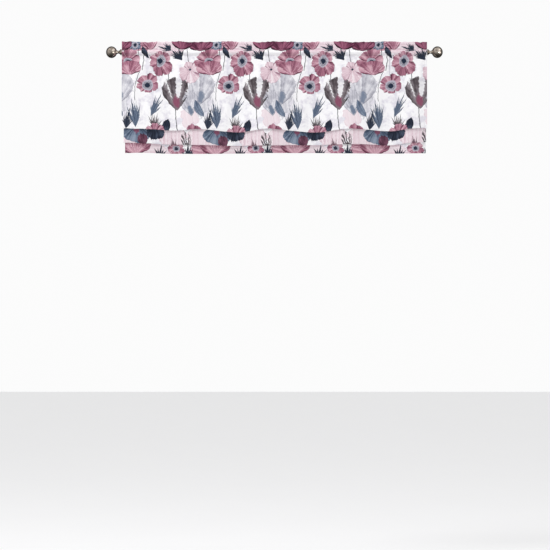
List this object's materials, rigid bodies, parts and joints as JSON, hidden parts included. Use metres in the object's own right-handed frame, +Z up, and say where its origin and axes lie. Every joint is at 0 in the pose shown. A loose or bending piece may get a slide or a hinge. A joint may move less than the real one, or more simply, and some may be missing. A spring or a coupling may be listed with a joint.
{
  "type": "window valance on a curtain rod",
  "caption": "Flat window valance of printed cloth with a rod pocket, short header and tucked lower tiers, on a round curtain rod with ball finials.",
  "frame": {"origin": "on the curtain rod's axis, midway between the finials", "axes": "+X along the rod to the right as seen from the room, +Y towards the wall, +Z up"},
  "size_m": [1.3734, 0.0477, 0.4591],
  "materials": {
    "printed_cloth": "matte",
    "brushed_metal": "satin"
  },
  "bodies": {
    "root": {"valance_cloth": "printed_cloth", "rod": "brushed_metal", "finial_left": "brushed_metal", "finial_right": "brushed_metal"}
  },
  "joints": []
}
